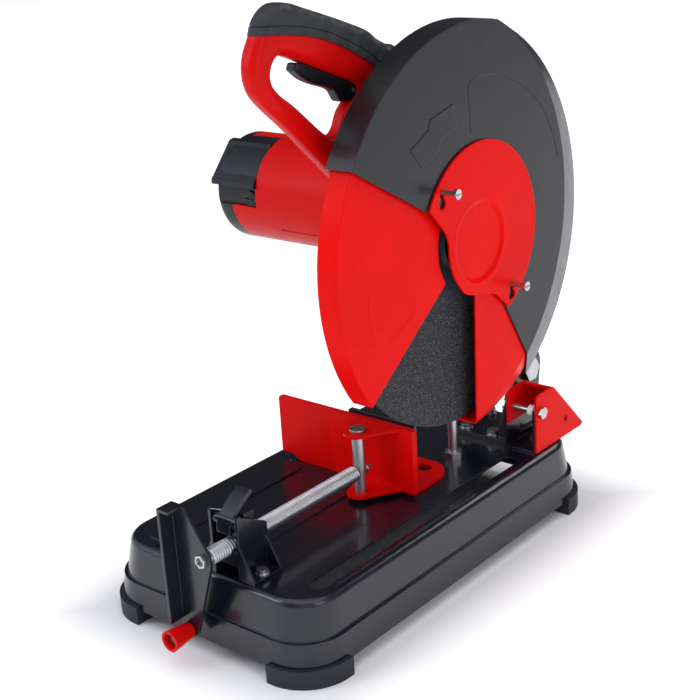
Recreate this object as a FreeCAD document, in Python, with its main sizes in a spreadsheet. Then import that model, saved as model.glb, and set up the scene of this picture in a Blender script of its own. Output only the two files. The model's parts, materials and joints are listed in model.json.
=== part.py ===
import FreeCAD
import Part
import math
import os
import re
from FreeCAD import Placement, Rotation, Vector

os.makedirs("parts", exist_ok=True)
doc = FreeCAD.newDocument("ChopSaw")

# Driving dimensions, in millimetres and degrees.
DIMS = [
    ("base_length", 456), ("base_width", 264), ("base_top", 76), ("base_under", 14),
    ("sheet", 2), ("slot_width", 17), ("foot_height", 18), ("foot_wrap", 4),
    ("wheel_x", 99.6), ("wheel_radius", 177.5), ("wheel_thick", 3.2), ("arbor_radius", 12.7),
    ("spindle_y", 44), ("spindle_z", 332), ("spindle_radius", 8),
    ("motor_y", 24), ("motor_z", 362), ("motor_radius", 52),
    ("pivot_y", 200), ("pivot_z", 146), ("pivot_radius", 8), ("knuckle_radius", 24),
    ("guard_back", 92), ("guard_face", 120), ("guard_radius", 195), ("guard_sheet", 2),
    ("bevel_depth", 14), ("bevel_shift_y", -42), ("bevel_shift_z", 14), ("bevel_radius", 195.3),
    ("front_guard_radius", 190), ("rear_guard_radius", 181.5), ("cover_radius", 88.5),
    ("screw_x", 25), ("screw_z", 105), ("screw_radius", 8), ("thread_pitch", 3),
    ("screw_front", -237), ("pin_y", -26), ("pin_radius", 6), ("jaw_top", 147),
    ("jaw_bottom", 80), ("fence_top", 145), ("knob_radius", 10), ("knob_length", 25),
    ("deflector_left", 80), ("deflector_right", 116), ("deflector_sheet", 2),
    ("handle_left", 48), ("handle_right", 68), ("gear_teeth", 40), ("pinion_teeth", 8),
    ("gear_module", 1.5), ("gear_width", 12), ("case_back", 44), ("middle_y", 12.7),
]
sheet = doc.addObject("Spreadsheet::Sheet", "Dims")
for row, (alias, value) in enumerate(DIMS, 1):
    sheet.set("A%d" % row, alias)
    sheet.set("B%d" % row, str(value))
    sheet.setAlias("B%d" % row, alias)
doc.recompute()
D = {alias: float(sheet.get(alias)) for alias, value in DIMS}

ABOUT_X = Rotation(Vector(1, 1, 1), 120)
TO_X = Rotation(Vector(0, 1, 0), 90)
TO_Y = Rotation(Vector(1, 0, 0), -90)
PLANES = {
    "YZ": (ABOUT_X, lambda at: Vector(at, 0, 0)),
    "XZ": (Rotation(Vector(1, 0, 0), 90), lambda at: Vector(0, at, 0)),
    "XY": (Rotation(), lambda at: Vector(0, 0, at)),
}
ALIAS = re.compile(r"\b(%s)\b" % "|".join(D))
nodes = []
used = {}


def fresh(name):
    used[name] = used.get(name, 0) + 1
    return name if used[name] == 1 else "%s_%d" % (name, used[name])


def assign(obj, prop, value):
    """Sets a number, or binds an expression whose words are sheet aliases."""
    if isinstance(value, str):
        obj.setExpression(prop, ALIAS.sub(r"Dims.\1", value))
    elif prop.startswith("."):
        base = obj.Placement
        point = base.Base
        setattr(point, prop[-1], value)
        obj.Placement = Placement(point, base.Rotation)
    else:
        setattr(obj, prop, value)


def locate(obj, x, y, z, rotation=None):
    obj.Placement = Placement(Vector(0, 0, 0), rotation or Rotation())
    for axis, value in (("x", x), ("y", y), ("z", z)):
        assign(obj, ".Placement.Base." + axis, value)
    return obj


def box(x, y, z, dx, dy, dz, name="Box"):
    obj = doc.addObject("Part::Box", fresh(name))
    assign(obj, "Length", dx)
    assign(obj, "Width", dy)
    assign(obj, "Height", dz)
    return locate(obj, x, y, z)


def cyl(direction, x, y, z, radius, height, name="Cyl"):
    obj = doc.addObject("Part::Cylinder", fresh(name))
    assign(obj, "Radius", radius)
    assign(obj, "Height", height)
    turn = {"X": TO_X, "Y": TO_Y, "Z": Rotation()}[direction]
    return locate(obj, x, y, z, turn)


def cone(direction, x, y, z, radius1, radius2, height, name="Cone"):
    obj = doc.addObject("Part::Cone", fresh(name))
    assign(obj, "Radius1", radius1)
    assign(obj, "Radius2", radius2)
    assign(obj, "Height", height)
    turn = {"X": TO_X, "Y": TO_Y, "Z": Rotation()}[direction]
    return locate(obj, x, y, z, turn)


def sketch(plane, at, loops, name="Sketch"):
    """Each loop is ("circle", u, v, r), or points (u, v) and arcs (mid_u, mid_v, u, v)."""
    obj = doc.addObject("Sketcher::SketchObject", fresh(name))
    turn, origin = PLANES[plane]
    obj.Placement = Placement(origin(at), turn)
    for loop in loops:
        if loop[0] == "circle":
            circle = Part.Circle(Vector(loop[1], loop[2], 0), Vector(0, 0, 1), loop[3])
            obj.addGeometry(circle, False)
            continue
        last = loop[-1][-2:]
        for point in loop:
            end = point[-2:]
            a = Vector(last[0], last[1], 0)
            b = Vector(end[0], end[1], 0)
            if len(point) == 4:
                arc = Part.Arc(a, Vector(point[0], point[1], 0), b)
                obj.addGeometry(arc, False)
            elif (a - b).Length > 1e-6:
                obj.addGeometry(Part.LineSegment(a, b), False)
            last = end
    return obj


def prism(plane, at, loops, length, name="Prism"):
    profile = sketch(plane, at, loops, name + "Sketch")
    obj = doc.addObject("Part::Extrusion", fresh(name))
    obj.Base = profile
    obj.DirMode = "Normal"
    obj.Solid = True
    assign(obj, "LengthFwd", length)
    return obj


def revolve(plane, at, loops, base, axis, name="Turned"):
    obj = doc.addObject("Part::Revolution", fresh(name))
    obj.Source = sketch(plane, at, loops, name + "Sketch")
    obj.Base = base
    obj.Axis = axis
    obj.Angle = 360
    obj.Solid = True
    return obj


def loft(sections, name="Loft"):
    obj = doc.addObject("Part::Loft", fresh(name))
    obj.Sections = sections
    obj.Solid = True
    obj.Ruled = True
    return obj


def fuse(*parts, name="Fuse"):
    obj = doc.addObject("Part::MultiFuse", fresh(name))
    obj.Shapes = list(parts)
    obj.Refine = True
    return obj


def common(a, b, name="Common"):
    obj = doc.addObject("Part::Common", fresh(name))
    obj.Base = a
    obj.Tool = b
    return obj


def cut(base, *tools, name="Cut"):
    obj = doc.addObject("Part::Cut", fresh(name))
    obj.Base = base
    obj.Tool = tools[0] if len(tools) == 1 else fuse(*tools, name=name + "Tools")
    return obj


def group(*parts, name="Group"):
    obj = doc.addObject("Part::Compound", fresh(name))
    obj.Links = list(parts)
    return obj


def fillet(base, radius, want, name="Fillet"):
    """Rounds the edges for which want(edge) is true."""
    doc.recompute()
    chosen = [i for i, edge in enumerate(base.Shape.Edges, 1) if want(edge)]
    if not chosen:
        raise RuntimeError("no edge to round on " + base.Name)
    obj = doc.addObject("Part::Fillet", fresh(name))
    obj.Base = base
    obj.Edges = [(i, radius, radius) for i in chosen]
    return obj


def node(label, obj):
    """A finished piece, moved from the base's centre to the centre of the whole saw."""
    obj.Label = label
    obj.Placement = Placement(Vector(0, D["middle_y"], 0), Rotation())
    nodes.append(obj)


def rounded(width, depth, radius):
    """A rectangle about the origin with four round corners."""
    w = width / 2.0
    d = depth / 2.0
    k = radius * (1 - math.sqrt(0.5))
    return [
        (w - radius, -d), (w - k, -d + k, w, -d + radius),
        (w, d - radius), (w - k, d - k, w - radius, d),
        (-w + radius, d), (-w + k, d - k, -w, d - radius),
        (-w, -d + radius), (-w + k, -d + k, -w + radius, -d),
    ]


def polar(radius, degrees, cu=0.0, cv=0.0):
    angle = math.radians(degrees)
    return (cu + radius * math.cos(angle), cv + radius * math.sin(angle))


def wedge(x, length, start, end, radius=400, name="Wedge"):
    """A pie slice about the spindle axis, from start to end degrees, +Y being 0."""
    cy = D["spindle_y"]
    cz = D["spindle_z"]
    count = max(2, int(abs(end - start) / 30) + 1)
    points = [(cy, cz)]
    for i in range(count + 1):
        points.append(polar(radius, start + (end - start) * i / count, cy, cz))
    return prism("YZ", x, [points], length, name)


def hexagon(radius, cu, cv, turn=0):
    return [polar(radius, turn + 60 * i, cu, cv) for i in range(6)]


def at_height(z, tolerance=0.01):
    def want(edge):
        bounds = edge.BoundBox
        return abs(bounds.ZMin - z) < tolerance and abs(bounds.ZMax - z) < tolerance
    return want


def slot(cx, cy, length, width, z, height, name="Slot"):
    """A round-ended slot along Y."""
    r = width / 2.0
    h = length / 2.0 - r
    loop = [(cx + r, cy - h), (cx + r, cy + h), (cx, cy + h + r, cx - r, cy + h),
            (cx - r, cy - h), (cx, cy - h - r, cx + r, cy - h)]
    return prism("XY", z, [loop], height, name)


# ---------------------------------------------------------------- base tray
W = D["base_width"]
L = D["base_length"]
TOP = D["base_top"]
LOW = D["base_under"]
T = D["sheet"]


def tray_shell(inset, low, step, high):
    """The tray's outline as a solid: a flared skirt, a step and a tapering upper part."""
    i = 2 * inset
    skirt = loft([
        sketch("XY", low, [rounded(W - i, L - i, 45 - inset)]),
        sketch("XY", step, [rounded(W - 5 - i, L - 5 - i, 44 - inset)]),
    ], "Skirt")
    upper = loft([
        sketch("XY", step, [rounded(W - 11 - i, L - 11 - i, 42 - inset)]),
        sketch("XY", high, [rounded(W - 20 - i, L - 26 - i, 38 - inset)]),
    ], "Upper")
    return skirt, upper


skirt, upper = tray_shell(0, LOW, 40, TOP)
upper = fillet(upper, 7, at_height(TOP), "UpperRound")
outer = fuse(skirt, upper, name="TrayOuter")
skirt_in, upper_in = tray_shell(T, LOW - 1, 38, TOP - T)
upper_in = fillet(upper_in, 5, at_height(TOP - T), "UpperInRound")
tray = cut(outer, skirt_in, upper_in, name="TrayShell")
RIBS = [(-82, -100, 200, 28), (-91, 75, 150, 10), (8, -90, 160, 6), (113, -62, 206, 4)]
ribs = [slot(x, y, length, width, TOP - 0.5, 2.0, "Rib") for x, y, length, width in RIBS]
wheel_slot = slot(D["wheel_x"], -27, 316, D["slot_width"], 60, 30, "WheelSlot")
hole_front = slot(-70.7, -205, 9, 5, 60, 30, "FrontHole")
hole_left = cyl("Z", -77, -181, 60, 3.2, 30, "LeftHole")
tray = fuse(tray, *ribs, name="TrayRibbed")
tray = cut(tray, wheel_slot, hole_front, hole_left, name="Tray")
node("base_tray", tray)

wrap = D["foot_wrap"]
feet = []
foot_loop = rounded(W + 2 * wrap, L + 2 * wrap, 45 + wrap)
foot_body = prism("XY", 0, [foot_loop], "foot_height", "FootBody")
foot_core = prism("XY", -1, [rounded(W - 34, L - 34, 30)], 30, "FootCore")
foot_skirt = loft([
    sketch("XY", LOW, [rounded(W, L, 45)]),
    sketch("XY", 40, [rounded(W - 5, L - 5, 44)]),
], "FootSkirt")
foot_ring = cut(foot_body, foot_core, foot_skirt, name="FootRing")
for sx in (-1, 1):
    for sy in (-1, 1):
        corner = box(min(0, sx * 200), min(0, sy * 300), -1, 200, 300, 30, "Corner")
        locate(corner, sx * 82 - (200 if sx < 0 else 0), sy * 178 - (300 if sy < 0 else 0), -1)
        feet.append(common(foot_ring, corner, "Foot"))
node("base_feet", group(*feet, name="Feet"))

# ---------------------------------------------------------------- rear pivot
PY = D["pivot_y"]
PZ = D["pivot_z"]
KR = D["knuckle_radius"]


def cheek_loop():
    return [(154, TOP + 6), (214, TOP + 6), (PY + KR, PZ), (PY, PZ + KR, PY - KR, PZ)]


plate = prism("XY", TOP, [[(0, 150), (76.5, 150), (76.5, 212), (0, 212)]], 6, "PivotPlate")
cheek_a = prism("YZ", 4, [cheek_loop()], 9, "CheekLeft")
cheek_b = prism("YZ", 64.5, [cheek_loop()], 9, "CheekRight")
bracket = fuse(plate, cheek_a, cheek_b, name="PivotBracketBody")
bolt_spots = [(21.5, 158), (21.5, 204), (56, 158), (56, 204)]
plate_holes = [cyl("Z", x, y, TOP - 1, 4.2, 9, "PlateHole") for x, y in bolt_spots]
shaft_bore = cyl("X", -5, "pivot_y", "pivot_z", "pivot_radius", 90, "ShaftBore")
node("pivot_bracket", cut(bracket, shaft_bore, *plate_holes, name="PivotBracket"))
shaft_bar = cyl("X", 1, "pivot_y", "pivot_z", "pivot_radius", 75.5, "Shaft")
shaft_head = cyl("X", 1, "pivot_y", "pivot_z", 12, 3, "ShaftHead")
shaft_nut = prism("YZ", 73.5, [hexagon(13, PY, PZ)], 6, "ShaftNut")
node("pivot_shaft", fuse(shaft_bar, shaft_head, shaft_nut, name="PivotShaft"))

# The coil sits on the shaft between the left cheek and the arm.
coil_pitch = 4.4
helix = doc.addObject("Part::Helix", "CoilPath")
helix.Pitch = coil_pitch
helix.Height = coil_pitch * 2.75
helix.Radius = 14
locate(helix, 15.8, "pivot_y", "pivot_z", TO_X)
doc.recompute()
spring = doc.addObject("Part::Feature", "ReturnSpring")
path = Part.Wire(helix.Shape.Edges)
start = path.Edges[0].valueAt(path.Edges[0].FirstParameter)
tangent = path.Edges[0].tangentAt(path.Edges[0].FirstParameter)
section = Part.Wire(Part.Circle(start, tangent, 1.9).toShape())
spring.Shape = path.makePipeShell([section], True, True)
node("return_spring", spring)


def hex_bolt(x, y, z, size=5.0, name="HexBolt"):
    """A bolt with a washer, standing on height z."""
    washer = cyl("Z", x, y, z, size * 1.9, 1.6, "Washer")
    head = prism("XY", z + 1.6, [hexagon(size * 1.55, x, y, 15)], size, "HexHead")
    top = cyl("Z", x, y, z + 1.6, size * 1.45, size, "HexRound")
    return fuse(washer, head, top, name=name)


pivot_bolts = []
for x, y in bolt_spots:
    head = hex_bolt(x, y, TOP + 6, 4.0, "PivotBoltHead")
    shank = cyl("Z", x, y, TOP, 4.1, 6.5, "PivotBoltShank")
    pivot_bolts.append(fuse(head, shank, name="PivotBolt"))
node("pivot_bolts", group(*pivot_bolts, name="PivotBolts"))

stop_rod = cyl("Z", 47, 98, TOP, 5, 106, "StopRod")
stop_cap = cone("Z", 47, 98, TOP + 106, 5, 3.5, 2, "StopCap")
stop_nut = prism("XY", TOP, [hexagon(9.5, 47, 98)], 8, "StopNut")
node("depth_stop", fuse(stop_rod, stop_cap, stop_nut, name="DepthStop"))

# ---------------------------------------------------------------- fence
FT = D["fence_top"]
fence_wall = prism("XZ", 10, [[
    (-107, 82), (-91, 82), (-84, TOP), (66, TOP), (66, FT),
    (-103, FT), (-105.8, FT - 1.2, -107, FT - 4),
]], 4, "FenceWall")
fence_foot_loop = [
    (-84, 10), (66, 10), (66, 46), (58, 66, 33, 73), (14, 73), (6, 38), (-76, 34),
]
fence_foot = prism("XY", TOP, [fence_foot_loop], 4, "FenceFoot")
fence_slot = prism("XY", 70, [[
    (37, 48.5), (42, 48.5), (49, 55.5, 42, 62.5), (37, 62.5), (30, 55.5, 37, 48.5),
]], 20, "FenceSlot")
fence_bolt_spots = [(-52, 23), (-2, 23)]
fence_holes = [cyl("Z", x, y, 70, 4.1, 20, "FenceHole") for x, y in fence_bolt_spots]
fence = fuse(fence_wall, fence_foot, name="FenceBody")
node("fence", cut(fence, fence_slot, *fence_holes, name="Fence"))
backing = box(-16, 10, 81, 82, 3.5, 68, "Backing")


def backing_corner(edge):
    bounds = edge.BoundBox
    return abs(bounds.YLength - 3.5) < 0.01 and bounds.XLength < 0.01 and bounds.ZMin > 140


node("fence_backing", fillet(backing, 3, backing_corner, "BackingRound"))
fence_bolts = []
for x, y in fence_bolt_spots:
    head = hex_bolt(x, y, TOP + 4, 4.0, "FenceBoltHead")
    shank = cyl("Z", x, y, 76, 4.0, 5, "FenceBoltShank")
    fence_bolts.append(fuse(head, shank, name="FenceBolt"))
node("fence_bolts", group(*fence_bolts, name="FenceBolts"))

# ---------------------------------------------------------------- spark deflector
DL = D["deflector_left"]
DR = D["deflector_right"]
DT = D["deflector_sheet"]
gusset = [
    (148, 77.5), (236, 77.5), (240, 80), (184, 138), (181, 140.4, 177, 141),
    (156, 141), (150, 139, 148, 133),
]
deflector_block = prism("YZ", DL, [gusset], DR - DL, "DeflectorBlock")
deflector_void = prism("YZ", DL + DT, [[
    (140, 70), (236, 70), (236.5, 80.5), (181.5, 138), (140, 138), (140, 70),
]], DR - DL - 2 * DT, "DeflectorVoid")
deflector_open = box(DL + DT, 140, 137, DR - DL - 2 * DT, 36, 10, "DeflectorOpen")
deflector_hole = cyl("X", DR - 6, 205, 97, 3.6, 10, "DeflectorHole")
pivot_hole = cyl("X", DL - 3, 156, 121, 3.05, 50, "DeflectorPivotHole")
low_left = box(DL - 1, 140, 70, DT + 2, 110, 34, "DeflectorLowLeft")
deflector = cut(deflector_block, deflector_void, deflector_open, deflector_hole, pivot_hole, low_left,
                name="Deflector")
node("spark_deflector", deflector)
ear_loop = [(149, 78.5), (176, 78.5), (164, 121), (156, 129, 148, 121)]
ear_a = prism("YZ", DL - 3.0, [ear_loop], 2.5, "EarLeft")
ear_b = prism("YZ", DR - DT - 3.0, [ear_loop], 2.5, "EarRight")
ear_base = box(DL - 3.0, 149, TOP, DR - DL - DT + 2.5, 40, 2.5, "EarBase")
ear_bore = cyl("X", DL - 5, 156, 121, 3.0, 50, "EarBore")
ear_hole = cyl("Z", 98, 176, TOP - 1, 3.6, 6, "EarHole")
ears = fuse(ear_a, ear_b, ear_base, name="EarBody")
node("deflector_bracket", cut(ears, ear_bore, ear_hole, name="DeflectorBracket"))
pivot_pin = cyl("X", DL - 3.2, 156, 121, 3.0, DR - DL + 7, "DeflectorPin")
pivot_head = prism("YZ", DL - 7.0, [hexagon(6.5, 156, 121)], 4, "DeflectorPinHead")
pivot_nut = prism("YZ", DR + 0.5, [hexagon(6.5, 156, 121)], 4, "DeflectorPinNut")
node("deflector_bolt", fuse(pivot_pin, pivot_head, pivot_nut, name="DeflectorBolt"))
bush = cut(cyl("X", DR - DT - 11, 156, 121, 5.5, 7.5, "BushBody"),
           cyl("X", DR - DT - 12, 156, 121, 3.0, 10, "BushBore"), name="DeflectorBush")
node("deflector_bush", bush)
ear_bolt = fuse(hex_bolt(98, 176, TOP + 2.5, 3.5, "EarBoltHead"),
                cyl("Z", 98, 176, TOP, 3.5, 3, "EarBoltShank"), name="EarBolt")
node("deflector_base_bolt", ear_bolt)

# ---------------------------------------------------------------- half-nut bracket
SX = D["screw_x"]
SZ = D["screw_z"]
SR = D["screw_radius"]


def across(points, side=1):
    """Points (distance from the screw's axis plane, height) on one side of the screw."""
    return [(SX + side * u, v) for u, v in points]


bracket_parts = []
side_bores = []
side_bolts = []
for side in (-1, 1):
    wall = across([(14.5, TOP), (17.5, TOP), (17.5, 138), (14.5, 138)], side)
    foot = across([(15, TOP), (32, TOP), (32, TOP + 3), (15, TOP + 3)], side)
    web = across([(16, TOP + 1), (32, TOP + 1), (32, TOP + 4), (17.5, 107), (16, 107)], side)
    bracket_parts.append(prism("XZ", -176, [wall], 36, "SideWall"))
    bracket_parts.append(prism("XZ", -176, [foot], 36, "SideFoot"))
    bracket_parts.append(prism("XZ", -176, [web], 2.5, "RearWeb"))
    bracket_parts.append(prism("XZ", -209.5, [web], 2.5, "FrontWeb"))
    side_bores.append(cyl("Z", SX + side * 25, -194, 70, 3.1, 20, "SideBore"))
    bolt_head = hex_bolt(SX + side * 25, -194, TOP + 3, 3.5, "SideBoltHead")
    bolt_shank = cyl("Z", SX + side * 25, -194, TOP, 3.05, 3.5, "SideBoltShank")
    side_bolts.append(fuse(bolt_head, bolt_shank, name="SideBolt"))
node("halfnut_bolts", group(*side_bolts, name="HalfNutBolts"))
cross_loop = across([(-15.5, 90), (15.5, 90), (15.5, 103), (-15.5, 103)])
bracket_parts.append(prism("XZ", -209, [cross_loop], 3, "CrossFront"))
bracket_parts.append(prism("XZ", -176, [cross_loop], 3, "CrossRear"))
slope_loop = [(-220, 142), (-212, 139), (-176, 120.5), (-170, 120.5), (-170, 150)]
slope = prism("YZ", -20, [slope_loop], 100, "WallSlope")
lever_bore = cyl("X", 0, -205, 129, 3.0, 60, "LeverBore")
screw_room = cyl("Y", "screw_x", -220, "screw_z", 8.4, 60, "ScrewRoom")
screw_lift = box(SX - 8.4, -220, SZ, 16.8, 60, 20, "ScrewLift")
halfnut = fuse(*bracket_parts, name="HalfNutBody")
halfnut = cut(halfnut, slope, lever_bore, screw_room, screw_lift, *side_bores, name="HalfNutBracket")
node("halfnut_bracket", halfnut)
node("lever_pin", group(cyl("X", SX - 17.5, -205, 129, 3.0, 35, "LeverPinBar"), name="LeverPin"))
flap = prism("YZ", SX - 8, [[
    (-212.5, 119), (-209.5, 118.5), (-208, 126, -203, 132), (-197, 138, -184, 146.5), (-181, 149.5),
    (-182.5, 152), (-198, 143, -206, 136), (-211, 129, -212.5, 119),
]], 16, "Flap")
lever_boss = cyl("X", SX - 13.5, -205, 129, 6, 27, "LeverBoss")
lever_hole = cyl("X", 0, -205, 129, 3.05, 60, "LeverHole")
node("release_lever", cut(fuse(flap, lever_boss, name="LeverBody"), lever_hole, name="ReleaseLever"))
nut_loop = [(-197.5, SZ), (-184, SZ), (-184, 134), (-197.5, 134)]
nut_block = prism("YZ", SX - 11, [nut_loop], 22, "NutBlock")
nut_bore = cyl("Y", "screw_x", -220, "screw_z", 8.08, 60, "NutBore")
nut_trim = prism("YZ", 0, [[
    (-212, 118), (-209.5, 118.5), (-208, 126, -203, 132), (-197, 138, -184, 146.5), (-178, 151),
    (-178, 160), (-215, 160),
]], 60, "NutTrim")
nut_boss_trim = cyl("X", 0, -205, 129, 6.0, 60, "NutBossTrim")
node("half_nut", cut(nut_block, nut_bore, nut_trim, nut_boss_trim, name="HalfNut"))

# ---------------------------------------------------------------- vice screw, jaw and crank
PINY = D["pin_y"]
SF = D["screw_front"]
profile = [(SF, 0), (SF, 6.8), (SF + 5, 6.8), (SF + 5, SR - 1.4)]
y = SF + 7
while y < PINY - 12:
    profile.append((y, SR - 1.4))
    profile.append((y + 0.8, SR))
    profile.append((y + 1.3, SR))
    profile.append((y + 2.1, SR - 1.4))
    y += D["thread_pitch"]
profile += [(PINY - 6.5, SR - 1.4), (PINY - 6.5, 3.5), (PINY + 13, 3.5), (PINY + 13, 0)]
rod_loop = [(u, SZ + v) for u, v in profile]
rod = revolve("YZ", SX, [rod_loop], Vector(SX, 0, SZ), Vector(0, 1, 0), "Rod")
spigot = cyl("Y", "screw_x", SF - 4, "screw_z", 4.0, 9, "Spigot")
node("vice_screw", fuse(rod, spigot, name="ViceScrew"))
end_nut = cut(prism("XZ", PINY + 11.6, [hexagon(6, SX, SZ)], 5, "EndNutBody"),
              cyl("Y", "screw_x", PINY, "screw_z", 3.5, 20, "EndNutBore"), name="EndNut")
node("screw_end_nut", end_nut)

JB = D["jaw_bottom"]
JT = D["jaw_top"]
jaw_plate = prism("XZ", 2.7, [[
    (-31, JB + 2), (-29, JB), (51, JB), (54, JB + 3), (58, JB), (71, JB), (71, JT - 1),
    (70, JT, 69, JT), (-29, JT), (-31, JT - 2),
]], 3.5, "JawPlate")
jaw_flange = box(67.5, 2.7, JB + 3, 3.5, 4.0, JT - JB - 4, "JawFlange")
ear_out = [
    (SX - 21, -0.8), (SX - 13, PINY - 3), (SX, PINY - 14, SX + 13, PINY - 3), (SX + 31, -0.8),
]
ear_top = prism("XY", JT - 3.5, [ear_out], 3.5, "EarTop")
ear_bottom = prism("XY", JB, [ear_out], 3.5, "EarBottom")
jaw_bore = cyl("Z", "screw_x", "pin_y", 70, "pin_radius + 0.06", 100, "JawBore")
jaw = cut(fuse(jaw_plate, jaw_flange, ear_top, ear_bottom, name="JawBody"), jaw_bore, name="Jaw")
node("vice_jaw", jaw)
pin = fuse(cyl("Z", "screw_x", "pin_y", JB - 1.6, "pin_radius", JT - JB + 2.0, "PinShank"),
           cyl("Z", "screw_x", "pin_y", JT + 0.4, 8, 2.4, "PinHead"), name="PinBody")
pin_cross = cyl("Y", "screw_x", PINY - 12, "screw_z", 3.55, 30, "PinCross")
node("jaw_pin", cut(pin, pin_cross, name="JawPin"))

CY = SF
web_points = [
    (-34, 46), (-18, 46), (-15, 40), (8.5, 6), (9.5, -4), (-12, -68), (-16, -79),
    (-24, -85), (-32, -79), (-35, -70),
]
web = prism("XZ", CY, [[(SX + u, SZ + v) for u, v in web_points]], 3, "CrankWeb")
flange = box(SX - 35, CY - 18, SZ - 66, 3, 18.0, 112, "CrankFlange")
top_flange = box(SX - 35, CY - 18, SZ + 44, 14, 18.0, 2.5, "CrankTop")
crank_bore = cyl("Y", "screw_x", CY - 10, "screw_z", 4.0, 12, "CrankBore")
KX = SX - 25
KZ = SZ - 76
knob_bore = cyl("Y", KX, CY - 10, KZ, 3.0, 12, "KnobMount")
crank = cut(fuse(web, flange, top_flange, name="CrankBody"), crank_bore, knob_bore, name="Crank")
node("vice_crank", crank)
crank_head = prism("XZ", CY - 3, [hexagon(6.5, SX, SZ, 20)], 3.5, "CrankNut")
crank_head = cut(crank_head, cyl("Y", "screw_x", CY - 8, "screw_z", 4.0, 9, "CrankNutBore"),
                 name="CrankNutCut")
node("crank_nut", crank_head)
KR2 = D["knob_radius"]
KL = D["knob_length"]
knob_profile = [
    (CY - 3.4, 3.06), (CY - 3.4, 6.8), (CY - 5, 7.6), (CY - 3.4 - KL + 7, KR2 - 0.6),
    (CY - 3.4 - KL, KR2), (CY - 3.4 - KL, KR2 - 2.6), (CY - 3.4 - KL + 9, KR2 - 3.2),
    (CY - 3.4 - KL + 9, 3.06),
]
knob_loop = [(u, KZ + v) for u, v in knob_profile]
node("crank_knob", revolve("YZ", KX, [knob_loop], Vector(KX, 0, KZ), Vector(0, 1, 0), "Knob"))
knob_shank = cyl("Y", KX, CY - 3.4 - KL + 8, KZ, 3.0, KL - 3.6, "KnobShank")
knob_head = cyl("Y", KX, CY - 3.4 - KL + 5.4, KZ, 5.2, 3.2, "KnobHead")
node("knob_screw", fuse(knob_shank, knob_head, name="KnobScrew"))

# ---------------------------------------------------------------- gear case and swing arm
SY = D["spindle_y"]
SPZ = D["spindle_z"]
MY = D["motor_y"]
MZ = D["motor_z"]
MR = D["motor_radius"]
CB = D["case_back"]
case_motor = cyl("X", CB, "motor_y", "motor_z", MR, 20, "CaseMotor")
case_motor_front = cone("X", CB + 20, "motor_y", "motor_z", MR, 40, 14, "CaseMotorFront")
case_spindle = cyl("X", CB + 6, "spindle_y", "spindle_z", 48, 34, "CaseSpindle")
case_front = cone("X", CB + 40, "spindle_y", "spindle_z", 48, 42, 8, "CaseFront")
case_boss = cyl("X", 90, "spindle_y", "spindle_z", 24, 5.5, "CaseBoss")
case_pad = box(52, 70, 300, 36, 28, 48, "CasePad")
case_body = fuse(case_motor, case_motor_front, case_spindle, case_front, case_boss, case_pad,
                 name="CaseBody")
gear_room = cyl("X", 60, "spindle_y", "spindle_z", 34.5, 20, "GearRoom")
pinion_room = cyl("X", 60, "motor_y", "motor_z", 12, 20, "PinionRoom")
rear_seat = cyl("X", 50.5, "spindle_y", "spindle_z", 14, 10, "RearSeat")
front_seat = cyl("X", 79, "spindle_y", "spindle_z", 18, 11, "FrontSeat")
hub_room = cyl("X", 88, "spindle_y", "spindle_z", 14.6, 12, "HubRoom")
motor_seat = cyl("X", 43, "motor_y", "motor_z", 14, 13, "MotorSeat")
motor_pass = cyl("X", 50, "motor_y", "motor_z", 7, 12, "MotorPass")
lock_bore = cyl("Z", 70, "spindle_y", 270, 3.05, 40, "LockBore")
lock_well = cyl("Z", 70, "spindle_y", 270, 6.3, 22, "LockWell")
case = cut(case_body, gear_room, pinion_room, rear_seat, front_seat, hub_room, motor_seat,
           motor_pass, lock_bore, lock_well, name="GearCase")
node("gear_case", case)
lock_button = cyl("Z", 70, "spindle_y", 276, 6.0, 10, "LockButton")
lock_pin = cyl("Z", 70, "spindle_y", 285, 3.0, 11, "LockPin")
node("spindle_lock", fuse(lock_button, lock_pin, name="SpindleLock"))

arm_side = [
    (98, 352), (98, 290), (PY - 21.5, PZ - 10.7), (PY, PZ - KR, PY + KR, PZ),
    (PY + 22, PZ + 12), (124, 352),
]
arm_beam = prism("YZ", 40, [arm_side], 23, "ArmBeam")
arm_knuckle = cyl("X", 31, "pivot_y", "pivot_z", "knuckle_radius", 32.5, "ArmKnuckle")
arm_flange = box(40, 98, 290, 48, 12, 62, "ArmFlange")
arm_bore = cyl("X", 20, "pivot_y", "pivot_z", "pivot_radius + 0.06", 60, "ArmBore")
arm_pocket = prism("YZ", 56, [[(118, 330), (112, 300), (176, 176), (188, 184)]], 10, "ArmPocket")
arm_body = fuse(arm_beam, arm_knuckle, arm_flange, name="ArmBody")
node("swing_arm", cut(arm_body, arm_bore, arm_pocket, name="SwingArm"))
arm_bolts = []
for x, z in ((74, 304), (74, 338)):
    head = cyl("Y", x, 110, z, 6.5, 6, "ArmBoltHead")
    socket = prism("XZ", 117, [hexagon(3, x, z)], 4, "ArmBoltSocket")
    arm_bolts.append(cut(head, socket, name="ArmBolt"))
node("arm_bolts", group(*arm_bolts, name="ArmBolts"))

# ---------------------------------------------------------------- guards
GB = D["guard_back"]
GF = D["guard_face"]
GR = D["guard_radius"]
GT = D["guard_sheet"]
BD = D["bevel_depth"]
BY = D["bevel_shift_y"]
BZ = D["bevel_shift_z"]
BR = D["bevel_radius"]


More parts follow.
